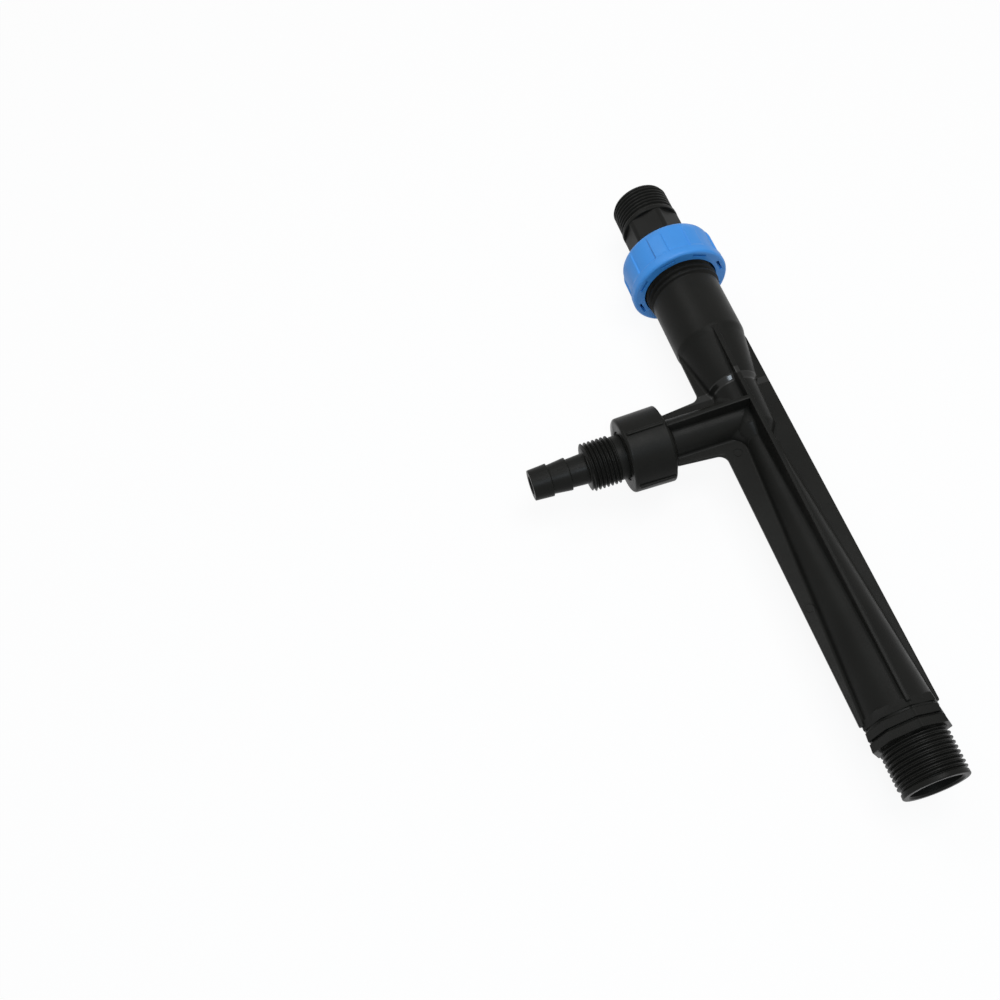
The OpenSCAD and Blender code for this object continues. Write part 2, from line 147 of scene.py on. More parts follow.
def rounded(points, steps):
    """Points (a, r, corner radius) as a polyline (a, r), with an arc of so many steps at each corner."""
    out = []
    last = len(points) - 1
    for i, (a, r, radius) in enumerate(points):
        here = np.array([a, r], float)
        if i in (0, last) or radius <= 0:
            out.append(here)
            continue
        before = np.array(points[i - 1][:2], float) - here
        after = np.array(points[i + 1][:2], float) - here
        before_len = np.linalg.norm(before)
        after_len = np.linalg.norm(after)
        back = before / before_len
        ahead = after / after_len
        half = math.acos(max(-1.0, min(1.0, float(back @ ahead)))) / 2
        reach = min(radius / math.tan(half), CORNER_SHARE * before_len, CORNER_SHARE * after_len)
        true_r = reach * math.tan(half)
        middle = (back + ahead) / np.linalg.norm(back + ahead)
        centre = here + middle * true_r / math.sin(half)
        start = here + back * reach - centre
        finish = here + ahead * reach - centre
        angle = math.atan2(start[1], start[0])
        turn = math.atan2(start[0] * finish[1] - start[1] * finish[0], start @ finish)
        for k in range(steps + 1):
            t = angle + turn * k / steps
            out.append(centre + true_r * np.array([math.cos(t), math.sin(t)]))
    return np.array(out)


def dense(profile, step):
    """Adds points so that no stretch of an (a, r) profile is longer than step."""
    out = [profile[0]]
    for p, q in zip(profile[:-1], profile[1:]):
        n = max(1, int(math.ceil(abs(q[0] - p[0]) / step)))
        for k in range(1, n + 1):
            out.append(p + (q - p) * k / n)
    return out


def angles(count):
    """Evenly spaced angles round a full turn."""
    return np.linspace(0, FULL_TURN, count, endpoint=False)


def flow_point(a, t, r):
    """Point at station a on the flow axis; angle t runs from +Z towards -Y."""
    return np.stack([np.broadcast_to(a, np.shape(t)), -r * np.sin(t), r * np.cos(t)], -1)


def branch_point(s, t, r):
    """Point at distance s along the branch; angle t runs from +Z towards +X."""
    return np.stack([BRANCH_X + r * np.sin(t), np.broadcast_to(-s, np.shape(t)), r * np.cos(t)], -1)


def mesh_object(name, verts, faces):
    """Closed mesh from points in millimetres, with its faces turned outwards."""
    mesh = bpy.data.meshes.new(name)
    mesh.from_pydata([tuple(v) for v in np.asarray(verts) * MM], [], faces)
    work = bmesh.new()
    work.from_mesh(mesh)
    bmesh.ops.recalc_face_normals(work, faces=work.faces)
    work.to_mesh(mesh)
    work.free()
    return scene_object(name, mesh)


def skin(name, rows, loop=False):
    """Surface through rows of points; loop joins the last row to the first, else the ends are capped."""
    rows = np.asarray(rows)
    count, cols = rows.shape[:2]
    faces = []
    for i in range(count if loop else count - 1):
        j = (i + 1) % count
        for k in range(cols):
            m = (k + 1) % cols
            faces.append((i * cols + k, i * cols + m, j * cols + m, j * cols + k))
    if not loop:
        faces.append(tuple(range(cols)))
        faces.append(tuple((count - 1) * cols + k for k in range(cols)))
    return mesh_object(name, rows.reshape(-1, 3), faces)


def round_rows(place, t, profile):
    """Circles at the (a, r) points of a profile, each a row of points at the angles t."""
    return [place(a, t, np.full(len(t), float(r))) for a, r in profile]


def lathe(name, place, profile, cols=96, loop=False):
    """Turned solid about an axis from (a, r) points."""
    return skin(name, round_rows(place, angles(cols), profile), loop)


def stretched(x, y, z):
    """Matrix that stretches a unit cube to these millimetres."""
    return Matrix.Diagonal((x * MM, y * MM, z * MM, 1.0))


def shifted(x, y, z):
    """Matrix that moves by these millimetres."""
    return Matrix.Translation((x * MM, y * MM, z * MM))


def rounded_block(name, matrix, bevel, segments):
    """Unit cube under matrix, with its edges rounded by bevel millimetres."""
    work = bmesh.new()
    bmesh.ops.create_cube(work, size=1.0)
    bmesh.ops.transform(work, matrix=matrix, verts=work.verts)
    bmesh.ops.bevel(
        work, geom=work.edges[:], offset=bevel * MM, segments=segments, profile=0.5, affect="EDGES")
    mesh = bpy.data.meshes.new(name)
    work.to_mesh(mesh)
    work.free()
    return scene_object(name, mesh)


def combine(target, other, operation):
    """Joins other into target, or cuts it out, and removes it."""
    mod = target.modifiers.new("combine", "BOOLEAN")
    mod.object = other
    mod.operation = operation
    mod.solver = "MANIFOLD"
    bpy.context.view_layer.update()
    graph = bpy.context.evaluated_depsgraph_get()
    done = bpy.data.meshes.new_from_object(target.evaluated_get(graph))
    target.modifiers.clear()
    target.data = done
    bpy.data.objects.remove(other)


def finish_piece(obj, body, node, material):
    """Smooth shading with crisp edges, material, and the CAD node that the piece stands for."""
    obj.data.materials.clear()
    obj.data.materials.append(material)
    for polygon in obj.data.polygons:
        polygon.use_smooth = True
        polygon.material_index = 0
    obj.data.set_sharp_from_angle(angle=SHARP_EDGE)
    weighted = obj.modifiers.new("weighted", "WEIGHTED_NORMAL")
    weighted.keep_sharp = True
    weighted.weight = NORMAL_WEIGHT
    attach(obj, body)
    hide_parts(node)


# Threads: start and end along the axis, crest and root as flat shares of a pitch, runs in pitches

Thread = namedtuple("Thread", "start end crest_r depth pitch crest root run_in run_out hand rows_per_pitch")


def smoothstep(x, a, b):
    """0 below a, 1 above b, smooth between."""
    u = np.clip((np.asarray(x, float) - a) / (b - a), 0, 1)
    return u * u * (3 - 2 * u)


def tooth(phase, crest, root):
    """Thread form over one pitch: 1 on the crest, 0 in the groove, straight flanks."""
    u = np.abs((phase % 1.0) - 0.5) * 2
    return 1 - np.clip((u - crest) / (1 - crest - root), 0, 1)


def thread_rows(place, t, thread):
    """Rows of a helical thread; hand is 1, or -1 where the angle runs the other way round."""
    pitch = thread.pitch
    count = int(round((thread.end - thread.start) / pitch * thread.rows_per_pitch))
    rows = []
    for a in np.linspace(thread.start, thread.end, count + 1):
        form = tooth(a / pitch - thread.hand * t / FULL_TURN, thread.crest, thread.root)
        fade_in = smoothstep(a, thread.start, thread.start + thread.run_in * pitch) if thread.run_in else 1.0
        fade_out = 1 - smoothstep(a, thread.end - thread.run_out * pitch, thread.end)
        rows.append(place(a, t, thread.crest_r - thread.depth * (1 - form * fade_in * fade_out)))
    return rows


# Section with four thin ribs

ARC_STEPS = 8
FILLET_STEPS = 6
# Most of a rib's free height that the fillet at its foot may take
FILLET_SHARE = 0.9
# A rib lower than this is left out
LEAST_RIB = 0.02


def half_section(r, reach, fillet):
    """Points (along the rib, across it) from the rib's tip down to the middle of the arc."""
    foot = math.sqrt(r * r - RIB_HALF * RIB_HALF)
    room = (reach - RIB_TIP) ** 2 - foot * foot
    f = min(fillet, FILLET_SHARE * room / (2 * (r - RIB_HALF)))
    c = math.sqrt((r + f) ** 2 - (RIB_HALF + f) ** 2)
    pts = [(reach + SEAM, 0.0), (reach, RIB_HALF - RIB_TIP)]
    for phi in (math.pi / 4, math.pi / 2):
        pts.append((reach - RIB_TIP + RIB_TIP * math.cos(phi), RIB_HALF - RIB_TIP + RIB_TIP * math.sin(phi)))
    pts.append(((reach - RIB_TIP + c) / 2, RIB_HALF))
    alpha = math.atan2(RIB_HALF + f, c)
    for k in range(FILLET_STEPS + 1):
        turn = -math.pi / 2 - (math.pi / 2 - alpha) * k / FILLET_STEPS
        pts.append((c + f * math.cos(turn), RIB_HALF + f + f * math.sin(turn)))
    for k in range(1, ARC_STEPS + 1):
        t = alpha + (math.pi / 4 - alpha) * k / ARC_STEPS
        pts.append((r * math.cos(t), r * math.sin(t)))
    return pts


def section(r, reach, fillet):
    """Angles and radii all round a circle of radius r with four ribs."""
    half = half_section(r, reach, fillet)
    t = np.array([math.atan2(across, along) for along, across in half])
    rho = np.array([math.hypot(along, across) for along, across in half])
    quarter_t = np.concatenate([t, (math.pi / 2 - t)[::-1][1:-1]])
    quarter_r = np.concatenate([rho, rho[::-1][1:-1]])
    turns = np.concatenate([quarter_t + k * math.pi / 2 for k in range(4)])
    return turns, np.tile(quarter_r, 4)


# Angles of a row without ribs, spaced as on a ribbed row of middling radius, so that the two join up
PLAIN_T = section(r=11.0, reach=RIB_REACH, fillet=1.2)[0]


def plain_row(place, a, r):
    """One row of a plain tube."""
    return place(a, PLAIN_T, np.full(len(PLAIN_T), float(r)))


def ribbed_row(a, r, reach):
    """One row of the ribbed body, or of a plain one where the ribs would not stand out."""
    if reach - RIB_TIP < r + LEAST_RIB:
        return plain_row(flow_point, a, r)
    t, rho = section(r, reach, RIB_FILLET)
    return flow_point(a, t, rho)


def branch_row(s, r, fillet):
    """One row of the branch, whose upper and lower ribs reach further than its webs."""
    t, rho = section(r, RIB_REACH - WEB_SLOPE * s, fillet)
    tall_t, tall_rho = section(r, RIB_REACH - FIN_SLOPE * s, fillet)
    upright = np.abs(np.cos(t)) > math.sqrt(0.5)
    return branch_point(s, np.where(upright, tall_t, t), np.where(upright, tall_rho, rho))


def octagon_row(a, corner_r):
    """Octagon with corners on the ribs and half way between them, and a seam above and below."""
    side = math.pi / 4
    turn = (PLAIN_T % side) - side / 2
    on_seam = np.abs(np.sin(PLAIN_T)) < 0.001
    return flow_point(a, PLAIN_T, corner_r * math.cos(side / 2) / np.cos(turn) + 2 * SEAM * on_seam)


# Moulded body

UNION_THREAD = Thread(
    start=BODY_X + 0.4, end=BARREL_X - 0.2, crest_r=UNION_R, depth=1.3, pitch=3.0,
    crest=0.22, root=0.3, run_in=0.6, run_out=0.5, hand=1, rows_per_pitch=24)
OUTLET_THREAD = Thread(
    start=COLLARS_END - 0.4, end=THREAD_END + 1.0, crest_r=PIPE_THREAD_R, depth=1.16, pitch=PIPE_PITCH,
    crest=0.14, root=0.26, run_in=0, run_out=0.5, hand=1, rows_per_pitch=24)

# Outlines: place along the axis, radius, rounding of the corner
BODY_OUTLINE = (
    (BARREL_X + 0.3, BARREL_R, 0),
    (SHOULDER_X, BARREL_R, 6),
    (CONTRACTION_X, 14.9, 8),
    (STEP_X, 11.3, 0.8),
    (STEP_END, 10.2, 1.5),
    (CHAMBER_END + 0.6, 9.2, 3.2),
    (WAIST_X, 6.1, 2.6),
    (DIFFUSER_END, 13.7, 0),
)
OUTLET_LIP = (
    (THREAD_END + 1.1, 12.2, 0),
    (THREAD_END + 1.4, 12.85, 0.2),
    (OUTLET_X, 12.95, 0.5),
    (OUTLET_X, 11.0, 0),
)
BOSS_OUTLINE = (
    (36.0, 11.4, 0),
    (BOSS_BACK, 13.8, 0.4),
    (BOSS_BACK + 0.8, 14.0, 0.3),
    (BOSS_BACK + 1.1, BOSS_ROOT_R, 0.5),
    (BOSS_FRONT, BOSS_R, 1.3),
    (BOSS_FRONT, 10.4, 0),
)

# Rows where one form runs into the next: place along the axis, radius
COLLAR_ROOT = (DIFFUSER_END - 1.2, 12.4)
OUTLET_ROOT = (COLLARS_END - COLLAR_GROOVE + 0.2, PIPE_THREAD_R - 0.5)
BRANCH_FLARE = ((34.9, 9.2), (35.4, 10.2), (35.9, 11.2))

# Strips that end or join ribs are a trace thinner than these, so that no two faces coincide
STRIP_HALF = RIB_HALF - 0.01
FIN_FOOT = 8.0
FIN_END_SPAN = (35.0, BOSS_BACK + 0.4)

# Passages, from a trace of radius on the axis out and back
AXIS_R = 0.05
FLOW_PASSAGE = (
    (BODY_X - 1, AXIS_R),
    (BODY_X - 1, BARREL_BORE_R),
    (CONTRACTION_X, BARREL_BORE_R),
    (CHAMBER_X, CHAMBER_BORE_R),
    (CHAMBER_END, CHAMBER_BORE_R),
    (THROAT_X, THROAT_R),
    (THROAT_END, THROAT_R),
    (COLLARS_END, OUTLET_BORE_R),
    (OUTLET_X - 0.8, OUTLET_BORE_R),
    (OUTLET_X + 0.4, OUTLET_BORE_R + 1.2),
    (OUTLET_X + 0.4, AXIS_R),
)
SUCTION_PASSAGE = (
    (0, AXIS_R),
    (0, BRANCH_BORE_R),
    (SPRING_WELL, BRANCH_BORE_R),
    (SPRING_WELL, SPRING_WELL_R),
    (SOCKET_END, SPRING_WELL_R),
    (SOCKET_END, SOCKET_R),
    (BOSS_FRONT - 0.8, SOCKET_R),
    (BOSS_FRONT - 0.8, SOCKET_R + 0.7),
    (BOSS_FRONT - 0.3, SOCKET_R + 0.8),
    (BOSS_FRONT + 0.4, SOCKET_R + 1.5),
    (BOSS_FRONT + 0.4, AXIS_R),
)

# One collar: distance along it, and how far its corners lie inside the full radius
FIRST_COLLAR_EDGE = (-0.3, 0.75)
COLLAR_EDGE = (0.06, 0.62)
COLLAR_PROFILE = ((0.3, 0.32), (COLLAR_LEN - 0.4, 0), (COLLAR_LEN - 0.12, 0.05), (COLLAR_LEN, 0.3))


def body_tube():
    """Union thread, barrel, contraction, chamber and diffuser, with the four long ribs."""
    rows = [plain_row(flow_point, BODY_X, UNION_R - UNION_CHAMFER)]
    rows += thread_rows(flow_point, PLAIN_T, UNION_THREAD)
    rows.append(plain_row(flow_point, BARREL_X, BARREL_R))
    for a, r in dense(rounded(BODY_OUTLINE, steps=8), step=3.0):
        rows.append(ribbed_row(a, r, RIB_REACH if RIB_START < a else 0))
    rows.append(ribbed_row(RIB_END - RIB_CHAMFER, UNDER_COLLAR_R - 0.05, RIB_REACH))
    rows.append(ribbed_row(RIB_END, UNDER_COLLAR_R, RIB_REACH - RIB_CHAMFER))
    rows.append(plain_row(flow_point, RIB_END + HAIR, UNDER_COLLAR_R))
    rows.append(plain_row(flow_point, TUBE_END, COLLAR_CORE_R))
    return skin("body_core", rows)


def outlet_end():
    """Three octagonal collars, the outlet thread and its plain lip."""
    rows = [plain_row(flow_point, *COLLAR_ROOT)]
    start = DIFFUSER_END
    for i, r in enumerate(COLLAR_R):
        edge = FIRST_COLLAR_EDGE
        if i:
            edge = COLLAR_EDGE
            rows.append(octagon_row(start + HAIR, GROOVE_R))
        for along, inset in (edge, *COLLAR_PROFILE):
            rows.append(octagon_row(start + along, r - inset))
        rows.append(octagon_row(start + COLLAR_LEN + 2 * HAIR, GROOVE_R))
        start += COLLAR_LEN + COLLAR_GROOVE
    rows.append(plain_row(flow_point, *OUTLET_ROOT))
    rows += thread_rows(flow_point, PLAIN_T, OUTLET_THREAD)
    rows += round_rows(flow_point, PLAIN_T, rounded(OUTLET_LIP, steps=4))
    return skin("outlet", rows)


def branch_tube():
    """Suction branch with its webs and ribs, flaring into the round boss."""
    rows = [branch_row(s, BRANCH_R, BRANCH_FILLET) for s in np.linspace(0, BRANCH_END, BRANCH_ROWS)]
    rows += [branch_row(s, r, FLARE_FILLET) for s, r in BRANCH_FLARE]
    rows += round_rows(branch_point, PLAIN_T, rounded(BOSS_OUTLINE, steps=5))
    return skin("branch", rows)


def rib_edge():
    """Points (below the tip, across the strip) over a strip's rounded tip, from one face to the other."""
    bite = RIB_TIP * 0.3
    flat = STRIP_HALF - RIB_TIP
    return [(RIB_TIP, -STRIP_HALF), (bite, -STRIP_HALF + bite), (0.0, -flat),
            (0.0, flat), (bite, STRIP_HALF - bite), (RIB_TIP, STRIP_HALF)]


def fin_end(side):
    """End of a rib above or below the branch, where it meets the boss."""
    rows = []
    for s in FIN_END_SPAN:
        top = RIB_REACH - FIN_SLOPE * s
        outline = [(-STRIP_HALF, FIN_FOOT), (STRIP_HALF, FIN_FOOT)]
        outline += [(x, top - below) for below, x in reversed(rib_edge())]
        rows.append([(BRANCH_X + x, -s, side * z) for x, z in outline])
    return skin("fin_end", rows)


def web_corner(side):
    """Strip of rib that rounds the corner between a long rib and a branch web."""
    leg = 12.0
    depth = 7.0
    lean = np.array([-side * WEB_SLOPE, -1.0]) / math.hypot(WEB_SLOPE, 1)
    corner = np.array([BRANCH_X + side * (RIB_REACH - WEB_SLOPE * RIB_REACH), -RIB_REACH])
    outline = [(corner[0] + side * leg, corner[1], 0), (corner[0], corner[1], WEB_CORNER),
               (corner[0] + lean[0] * leg, corner[1] + lean[1] * leg, 0)]
    path = rounded(outline, steps=12)
    tangent = np.gradient(path, axis=0)
    tangent /= np.linalg.norm(tangent, axis=1)[:, None]
    out = np.stack([-tangent[:, 1], tangent[:, 0]], -1) * side
    edge = [(-below, z) for below, z in rib_edge()]
    profile = [(-depth, -STRIP_HALF), *edge, (-depth, STRIP_HALF)]
    rows = []
    for p, n in zip(path, out):
        rows.append([(p[0] + n[0] * d, p[1] + n[1] * d, z) for d, z in profile])
    return skin("corner", rows)


def branch_blend(side, body_r, top, radius):
    """Round inner corner between the branch tube and the main tube, thinning out above and below the web."""
    overlap = 1.5
    arc_steps = 10
    row_count = 31
    vanish = top * 1.001
    rows = []
    for z in np.linspace(-top, top, row_count):
        x = BRANCH_X + side * math.sqrt(BRANCH_R ** 2 - z * z)
        y = -math.sqrt(body_r ** 2 - z * z)
        r = radius * math.sqrt(1 - (z / vanish) ** 2)
        inner = x - overlap * side
        row = [(inner, y - r), (inner, y + overlap), (x + side * r, y + overlap)]
        for k in range(arc_steps + 1):
            t = math.pi / 2 * k / arc_steps
            row.append((x + side * (r - r * math.sin(t)), y - (r - r * math.cos(t))))
        rows.append([(px, py, z) for px, py in row])
    return skin("blend", rows)


def ejector_mark(x, y):
    """Shallow ring that an ejector pin leaves on the web's upper face."""
    def place(a, t, r):
        return np.stack([x + r * np.cos(t), y + r * np.sin(t), np.broadcast_to(a, np.shape(t))], -1)
    low = RIB_HALF - MARK_DEPTH
    high = RIB_HALF + MARK_ABOVE
    ring = [(low, MARK_OUTER_R), (high, MARK_OUTER_R + MARK_DRAFT),
            (high, MARK_INNER_R - MARK_DRAFT), (low, MARK_INNER_R)]
    return lathe("mark", place, ring, cols=48, loop=True)


def boss_rib(k):
    """One small rib on the boss, with rounded edges and ends."""
    width, height = 1.5, 3.0
    start, finish = BOSS_BACK + 1.8, BOSS_FRONT - 1.7
    place = shifted(BRANCH_X, -(start + finish) / 2, 0)
    turn = Matrix.Rotation(k * math.pi / 2, 4, "Y")
    lift = shifted(0, 0, BOSS_RIB_R - height / 2)
    size = stretched(width, finish - start, height)
    return rounded_block("boss_rib", place @ turn @ lift @ size, bevel=0.45, segments=3)


def build_body():
    """The whole black moulding, with its passages cut last."""
    core = body_tube()
    combine(core, outlet_end(), "UNION")
    combine(core, branch_tube(), "UNION")
    for side in (-1, 1):
        combine(core, web_corner(side), "UNION")
        combine(core, fin_end(side), "UNION")
    for k in range(4):
        combine(core, boss_rib(k), "UNION")
    combine(core, branch_blend(side=1, body_r=6.6, top=6.3, radius=6.0), "UNION")
    combine(core, branch_blend(side=-1, body_r=9.9, top=8.4, radius=4.0), "UNION")
    for x, y in EJECTOR_MARKS:
        combine(core, ejector_mark(x, y), "DIFFERENCE")
    combine(core, lathe("flow", flow_point, FLOW_PASSAGE), "DIFFERENCE")
    combine(core, lathe("suction", branch_point, SUCTION_PASSAGE), "DIFFERENCE")
    core.name = "moulded_body"
    return core


# Union nut

NUT_COLS = 400
NUT_X = 33.1
NUT_RIM_X = 49.0
NUT_END = 53.4
NUT_THREAD_R = 16.95
NUT_CLEAR_R = 13.95
NUT_SEAT_X = NUT_X + 3.6
NUT_OUTLINE = (
    (NUT_X, 14.2, 0),
    (NUT_X, 21.1, 3.0),
    (NUT_X + 6.4, 21.15, 2),
    (NUT_RIM_X - 0.6, 21.2, 1.0),
    (NUT_RIM_X + 0.2, 22.35, 0.4),
    (NUT_END, 22.5, 1.4),
    (NUT_END, 17.2, 0.3),
    (NUT_END - 1, NUT_THREAD_R, 0),
)
NUT_BORE = ((NUT_SEAT_X, NUT_THREAD_R), (NUT_SEAT_X, NUT_CLEAR_R), (NUT_X + 0.3, NUT_CLEAR_R))
LUGS = 8
LUG_SPACING = FULL_TURN / LUGS
LUG_WIDTH = math.radians(18)
LUG_TURN = math.radians(21)
LUG_FLANK = (LUG_WIDTH / 2 - math.radians(1.1), LUG_WIDTH / 2 + math.radians(0.8))
LUG_RISE = (NUT_X + 1.4, NUT_X + 5.0)
LUG_FALL = (NUT_RIM_X - 0.6, NUT_RIM_X + 0.2)
LUG_HEIGHT = 0.7
# The lugs stand only on the nut's outside, beyond this radius
LUG_LEAST_R = 19
SLOT_R = 19.5
SLOT_DEPTH = 9.0
SLOT_WIDTH = 6.8
SLOT_GAP = 1.15


def nut_slot(angle):
    """Moulded pocket in the nut's end face behind a lug."""
    turn = Matrix.Rotation(angle, 4, "X")
    lift = shifted(NUT_END, 0, SLOT_R)
    size = stretched(2 * SLOT_DEPTH, SLOT_WIDTH, SLOT_GAP)
    return rounded_block("slot", turn @ lift @ size, bevel=0.3, segments=2)


def build_nut():
    """Nut with a domed front, grip lugs, a wide rim and a pocket behind each lug."""
    t = angles(NUT_COLS)
    off = np.abs((t - LUG_TURN + LUG_SPACING / 2) % LUG_SPACING - LUG_SPACING / 2)
    lug = 1 - smoothstep(off, *LUG_FLANK)
    rows = []
    for a, r in dense(rounded(NUT_OUTLINE, steps=6), step=1.0):
        lift = 0
        if r > LUG_LEAST_R:
            lift = LUG_HEIGHT * smoothstep(a, *LUG_RISE) * (1 - smoothstep(a, *LUG_FALL))
        rows.append(flow_point(a, t, r + lug * lift))
    rows += round_rows(flow_point, t, NUT_BORE)
    nut = skin("union_nut_grip", rows, loop=True)
    for i in range(LUGS):
        combine(nut, nut_slot(LUG_TURN + i * LUG_SPACING), "DIFFERENCE")
    return nut


# Threaded tail at the inlet

TAIL_COLS = 180
LIP_X = 13.9
HEX_X = 16.1
NECK_X = 33.3
HEX_TURN = math.radians(20)
HEX_FLAT_R = 12.1
HEX_CAPS = ((HEX_X + 0.25, 13.25), (HEX_X + 0.6, 13.5), (NECK_X, 13.5))
NECK_R = 13.6
FLANGE_X = 36.9
FLANGE_R = 15.2
TAIL_END = 40.3
TAIL_BORE_R = 9.5
SEAL_FLOOR = TAIL_END - 1.55
SEAL_OUTER_R = 13.15
SEAL_INNER_R = 11.55
INLET_THREAD = Thread(
    start=0.3, end=LIP_X - 0.5, crest_r=PIPE_THREAD_R, depth=0.8, pitch=PIPE_PITCH,
    crest=0.3, root=0.16, run_in=0.8, run_out=0.4, hand=1, rows_per_pitch=24)
TAIL_FACE = ((0.0, 10.2), (0.0, 11.7), (0.15, 11.95))
TAIL_LIP = (
    (LIP_X - 0.4, 12.2, 0),
    (LIP_X - 0.1, 13.3, 0.2),
    (LIP_X + 0.5, NECK_R, 0.3),
    (HEX_X, NECK_R, 0.5),
    (HEX_X + 0.2, 13.3, 0),
)
TAIL_FLANGE = (
    (NECK_X + 0.1, NECK_R),
    (FLANGE_X, NECK_R),
    (FLANGE_X + 0.02, FLANGE_R - 0.3),
    (FLANGE_X + 0.3, FLANGE_R),
    (TAIL_END, FLANGE_R),
    (TAIL_END, SEAL_OUTER_R),
    (SEAL_FLOOR, SEAL_OUTER_R),
    (SEAL_FLOOR, SEAL_INNER_R),
    (TAIL_END, SEAL_INNER_R),
    (TAIL_END, TAIL_BORE_R),
    (0.7, TAIL_BORE_R),
)


def build_inlet():
    """Tail with a male thread, a round lip, a hex section, and a flange with a seal groove."""
    t = angles(TAIL_COLS)
    rows = round_rows(flow_point, t, TAIL_FACE)
    rows += thread_rows(flow_point, t, INLET_THREAD)
    rows += round_rows(flow_point, t, rounded(TAIL_LIP, steps=4))
    turn = (t - HEX_TURN + math.pi / 6) % (math.pi / 3) - math.pi / 6
    flats = HEX_FLAT_R / np.cos(turn)
    for a, cap in HEX_CAPS:
        rows.append(flow_point(a, t, np.minimum(flats, cap)))
    rows += round_rows(flow_point, t, TAIL_FLANGE)
    return skin("threaded_tail", rows, loop=True)


# Suction adapter: distances along the branch

SUCTION_COLS = 192
PLUG_R = 9.9
PLUG_START = 40.2
RING_START = 52.5
RING_END = 54.3
RING_R = 8.2
SUCTION_END = 72.8
BARB_R = 7.15
BARB_END = 96.8
BARB_BORE_R = 4.0
BALL_SEAT = 51.8
BALL_SEAT_R = 3.0
PLUG_BORE_R = 5.0
SUCTION_THREAD = Thread(
    start=59.6, end=SUCTION_END - 0.15, crest_r=10.5, depth=1.25, pitch=PIPE_PITCH,
    crest=0.1, root=0.14, run_in=0.4, run_out=0.12, hand=-1, rows_per_pitch=26)
SUCTION_PLUG = (
    (PLUG_START, PLUG_BORE_R),
    (PLUG_START, PLUG_R),
    (RING_START, PLUG_R),
    (RING_START, RING_R),
    (RING_END, RING_R),
    (RING_END, PLUG_R),
    (RING_END + 1, PLUG_R),
    (55.4, 9.6),
    (59.4, 9.55),
)
SUCTION_BARB = (
    (SUCTION_END - 0.05, 8.9, 0),
    (SUCTION_END, 8.6, 0.1),
    (SUCTION_END + 0.1, 6.65, 0.3),
    (80.2, 6.2, 0.2),
    (80.5, BARB_R, 0.15),
    (81.2, 7.1, 0.5),
    (88.4, 6.3, 0.2),
    (88.7, BARB_R, 0.15),
    (89.4, 7.1, 0.5),
    (BARB_END, 6.6, 0.3),
    (BARB_END, BARB_BORE_R, 0.4),
    (94.0, BARB_BORE_R, 0),
)
SUCTION_BORE = (
    (BALL_SEAT, BARB_BORE_R),
    (BALL_SEAT, BALL_SEAT_R),
    (BALL_SEAT - 2, BALL_SEAT_R),
    (BALL_SEAT - 4, PLUG_BORE_R),
)


def build_suction():
    """Adapter with a plug in the boss, a seal groove, a male thread and a two-step hose barb."""
    t = angles(SUCTION_COLS)
    rows = round_rows(branch_point, t, SUCTION_PLUG)
    rows += thread_rows(branch_point, t, SUCTION_THREAD)
    rows += round_rows(branch_point, t, rounded(SUCTION_BARB, steps=4))
    rows += round_rows(branch_point, t, SUCTION_BORE)
    return skin("hose_adapter", rows, loop=True)


# Materials

# Scale and detail of the noise behind shade, sheen and grain
SHADE_NOISE = (60, 4)
SHEEN_NOISE = (140, 5)
GRAIN_NOISE = (2200, 3)
SHADE_STOPS = (0.35, 0.65)
SHEEN_SPAN = (0.3, 0.7)
GRAIN_HEIGHT = 0.0002
PLASTIC_IOR = 1.5


def set_inputs(node, values):
    """Sets a node's inputs by name."""
    for name, value in values.items():
        node.inputs[name].default_value = value


def math_node(tree, operation, *values):
    """Output of a math node whose inputs are sockets or plain numbers."""
    node = tree.nodes.new("ShaderNodeMath")
    node.operation = operation
    for socket, value in zip(node.inputs, values):
        if isinstance(value, float):
            socket.default_value = value
        else:
            tree.links.new(value, socket)
    return node.outputs["Value"]


def noise(tree, place, scale, detail):
    """Output of a noise texture over the object's own coordinates."""
    node = tree.nodes.new("ShaderNodeTexNoise")
    set_inputs(node, {"Scale": scale, "Detail": detail})
    tree.links.new(place.outputs["Object"], node.inputs["Vector"])
    return node.outputs["Fac"]


def new_material(name):
    """New material, its node tree and its shader."""
    mat = bpy.data.materials.new(name)
    mat.use_nodes = True
    return mat, mat.node_tree, mat.node_tree.nodes["Principled BSDF"]


def plastic(name, dark, light, rough, spread, grain, gloss=0.5):
    """Moulded plastic: slow drift of shade, uneven sheen and fine surface grain."""
    mat, tree, shader = new_material(name)
    set_inputs(shader, {"IOR": PLASTIC_IOR, "Specular IOR Level": gloss})
    place = tree.nodes.new("ShaderNodeTexCoord")
    shade = tree.nodes.new("ShaderNodeValToRGB")
    for stop, position, colour in zip(shade.color_ramp.elements, SHADE_STOPS, (dark, light)):
        stop.position = position
        stop.color = (*colour, 1)
    tree.links.new(noise(tree, place, *SHADE_NOISE), shade.inputs["Fac"])
    tree.links.new(shade.outputs["Color"], shader.inputs["Base Color"])
    sheen = tree.nodes.new("ShaderNodeMapRange")
    set_inputs(sheen, {"From Min": SHEEN_SPAN[0], "From Max": SHEEN_SPAN[1]})
    set_inputs(sheen, {"To Min": rough - spread, "To Max": rough + spread})
    tree.links.new(noise(tree, place, *SHEEN_NOISE), sheen.inputs["Value"])
    tree.links.new(sheen.outputs["Result"], shader.inputs["Roughness"])
    bump = tree.nodes.new("ShaderNodeBump")
    set_inputs(bump, {"Strength": grain, "Distance": GRAIN_HEIGHT})
    tree.links.new(noise(tree, place, *GRAIN_NOISE), bump.inputs["Height"])
    tree.links.new(bump.outputs["Normal"], shader.inputs["Normal"])
    return mat


